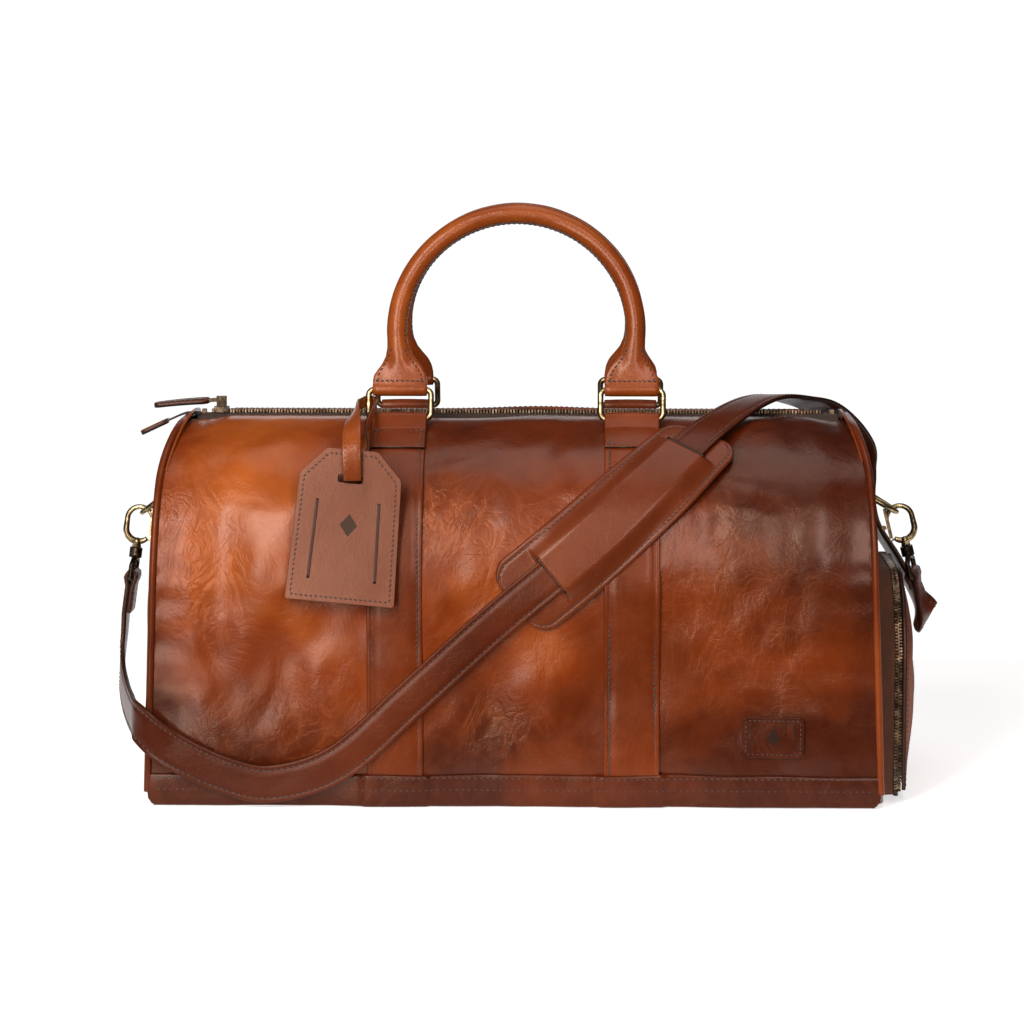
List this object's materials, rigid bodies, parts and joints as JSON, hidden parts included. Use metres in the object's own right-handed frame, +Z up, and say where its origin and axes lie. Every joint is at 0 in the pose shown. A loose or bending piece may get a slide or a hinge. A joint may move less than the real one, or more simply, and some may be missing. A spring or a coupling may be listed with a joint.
{
  "type": "weekender bag",
  "caption": "Leather duffel with an arched body, two rolled handles on rectangular rings, a zip top, an end shoe compartment, a clip-on padded shoulder strap and a luggage tag.",
  "frame": {"origin": "middle of the base, on the ground", "axes": "+X along the bag towards the shoe compartment, front faces -Y, +Z up"},
  "size_m": [0.5743, 0.2576, 0.4],
  "materials": {
    "tan_leather": "waxed pull-up leather, glossy, cognac, darker toward the edges",
    "dark_leather": "dark brown bridle leather, satin, edge stitched",
    "antique_brass": "antique brass, brushed, darkened in the recesses",
    "zip_metal": "dull brass zip teeth",
    "zip_tape": "dark brown woven zip tape",
    "lining_cloth": "woven cotton lining",
    "rope_core": "twisted cotton rope",
    "fibre_board": "pressed fibre board"
  },
  "bodies": {
    "bag": {"front_panel": "tan_leather", "back_panel": "tan_leather", "base_panel": "tan_leather", "front_base_band": "tan_leather", "back_base_band": "tan_leather", "left_end_panel": "tan_leather", "right_end_panel": "tan_leather", "left_piping": "dark_leather", "right_piping": "dark_leather", "front_left_band": "tan_leather", "front_right_band": "tan_leather", "back_left_band": "tan_leather", "back_right_band": "tan_leather", "front_left_chape": "tan_leather", "front_right_chape": "tan_leather", "back_left_chape": "tan_leather", "back_right_chape": "tan_leather", "zip_tapes": "zip_tape", "zip_teeth": "zip_metal", "zip_stops": "zip_metal", "zip_tail": "zip_tape", "zip_tail_cap": "dark_leather", "base_board": "fibre_board", "lining": "lining_cloth", "shoe_pocket": "lining_cloth", "shoe_zip_tape": "zip_tape", "shoe_zip_teeth": "zip_metal", "left_ring_tab": "tan_leather", "right_ring_tab": "tan_leather", "shoulder_strap": "dark_leather", "shoulder_pad": "dark_leather", "maker_patch": "dark_leather"},
    "front_left_ring": {"front_left_ring": "antique_brass"},
    "front_right_ring": {"front_right_ring": "antique_brass"},
    "back_left_ring": {"back_left_ring": "antique_brass"},
    "back_right_ring": {"back_right_ring": "antique_brass"},
    "front_handle": {"front_handle": "tan_leather", "front_handle_core": "rope_core"},
    "back_handle": {"back_handle": "tan_leather", "back_handle_core": "rope_core"},
    "zip_slider": {"zip_slider": "antique_brass"},
    "zip_pull": {"zip_pull_link": "antique_brass", "zip_pull": "dark_leather"},
    "shoe_door": {"shoe_door": "tan_leather", "shoe_door_teeth": "zip_metal"},
    "shoe_slider": {"shoe_slider": "antique_brass"},
    "shoe_pull": {"shoe_pull": "dark_leather"},
    "left_clip": {"left_d_ring": "antique_brass", "left_eye": "antique_brass", "left_strap_end": "dark_leather"},
    "left_hook": {"left_hook": "antique_brass"},
    "left_gate": {"left_gate": "antique_brass"},
    "right_clip": {"right_d_ring": "antique_brass", "right_eye": "antique_brass", "right_strap_end": "dark_leather"},
    "right_hook": {"right_hook": "antique_brass"},
    "right_gate": {"right_gate": "antique_brass"},
    "tag_strap": {"tag_strap": "dark_leather"},
    "luggage_tag": {"luggage_tag": "dark_leather"}
  },
  "joints": [
    {"name": "front_left_ring_tilt", "type": "hinge", "parent": "bag", "child": "front_left_ring", "pos_m": [-0.079, -0.05088, 0.25558], "axis": [1, 0, 0], "range_deg": [0, 15]},
    {"name": "front_right_ring_tilt", "type": "hinge", "parent": "bag", "child": "front_right_ring", "pos_m": [0.079, -0.05088, 0.25558], "axis": [1, 0, 0], "range_deg": [0, 15]},
    {"name": "front_handle_fold", "type": "hinge", "parent": "front_left_ring", "child": "front_handle", "pos_m": [-0.079, -0.04537, 0.27481], "axis": [1, 0, 0], "range_deg": [0, 60]},
    {"name": "back_left_ring_tilt", "type": "hinge", "parent": "bag", "child": "back_left_ring", "pos_m": [-0.079, 0.05088, 0.25558], "axis": [-1, 0, 0], "range_deg": [0, 15]},
    {"name": "back_right_ring_tilt", "type": "hinge", "parent": "bag", "child": "back_right_ring", "pos_m": [0.079, 0.05088, 0.25558], "axis": [-1, 0, 0], "range_deg": [0, 15]},
    {"name": "back_handle_fold", "type": "hinge", "parent": "back_left_ring", "child": "back_handle", "pos_m": [-0.079, 0.04537, 0.27481], "axis": [-1, 0, 0], "range_deg": [0, 60]},
    {"name": "zip_slider_travel", "type": "slide", "parent": "bag", "child": "zip_slider", "axis": [1, 0, 0], "range_m": [0, 0.41]},
    {"name": "zip_pull_flip", "type": "hinge", "parent": "zip_slider", "child": "zip_pull", "pos_m": [-0.206, 0, 0.264], "axis": [0, 1, 0], "range_deg": [0, 150]},
    {"name": "shoe_door_open", "type": "hinge", "parent": "bag", "child": "shoe_door", "pos_m": [0.2615, 0, 0.006], "axis": [0, 1, 0], "range_deg": [0, 70]},
    {"name": "shoe_slider_travel", "type": "slide", "parent": "bag", "child": "shoe_slider", "axis": [0, 0, 1], "range_m": [0, 0.065]},
    {"name": "shoe_pull_flip", "type": "hinge", "parent": "shoe_slider", "child": "shoe_pull", "pos_m": [0.2582, 0.1008, 0.022], "axis": [1, 0, 0], "range_deg": [0, 90]},
    {"name": "left_clip_swing", "type": "hinge", "parent": "bag", "child": "left_clip", "pos_m": [-0.24329, 0, 0.199], "axis": [0, 1, 0], "range_deg": [-6, 20]},
    {"name": "left_hook_swivel", "type": "hinge", "parent": "left_clip", "child": "left_hook", "pos_m": [-0.26793, 0, 0.15298], "axis": [0.1392, 0, 0.9903], "range_deg": [-5, 5]},
    {"name": "left_gate_press", "type": "hinge", "parent": "left_hook", "child": "left_gate", "pos_m": [-0.25739, 0, 0.16544], "axis": [0, -1, 0], "range_deg": [0, 8], "stiffness_Nm_per_rad": 0.02, "springref_deg": -17.19},
    {"name": "right_clip_swing", "type": "hinge", "parent": "bag", "child": "right_clip", "pos_m": [0.24329, 0, 0.199], "axis": [0, -1, 0], "range_deg": [0, 20]},
    {"name": "right_hook_swivel", "type": "hinge", "parent": "right_clip", "child": "right_hook", "pos_m": [0.27261, 0, 0.15581], "axis": [-0.2419, 0, 0.9703], "range_deg": [-5, 5]},
    {"name": "right_gate_press", "type": "hinge", "parent": "right_hook", "child": "right_gate", "pos_m": [0.26083, 0, 0.16709], "axis": [0, 1, 0], "range_deg": [0, 8], "stiffness_Nm_per_rad": 0.02, "springref_deg": -17.19},
    {"name": "tag_strap_swing", "type": "hinge", "parent": "bag", "child": "tag_strap", "pos_m": [-0.1003, -0.0481, 0.2652], "axis": [-1, 0, 0], "range_deg": [0, 20]},
    {"name": "tag_swing", "type": "hinge", "parent": "tag_strap", "child": "luggage_tag", "pos_m": [-0.106, -0.1202, 0.222], "axis": [-1, 0, 0], "range_deg": [0, 15]}
  ],
  "couplings": [
    {"joint": "front_right_ring_tilt", "follows": "front_left_ring_tilt", "ratio": 1},
    {"joint": "back_right_ring_tilt", "follows": "back_left_ring_tilt", "ratio": 1}
  ]
}
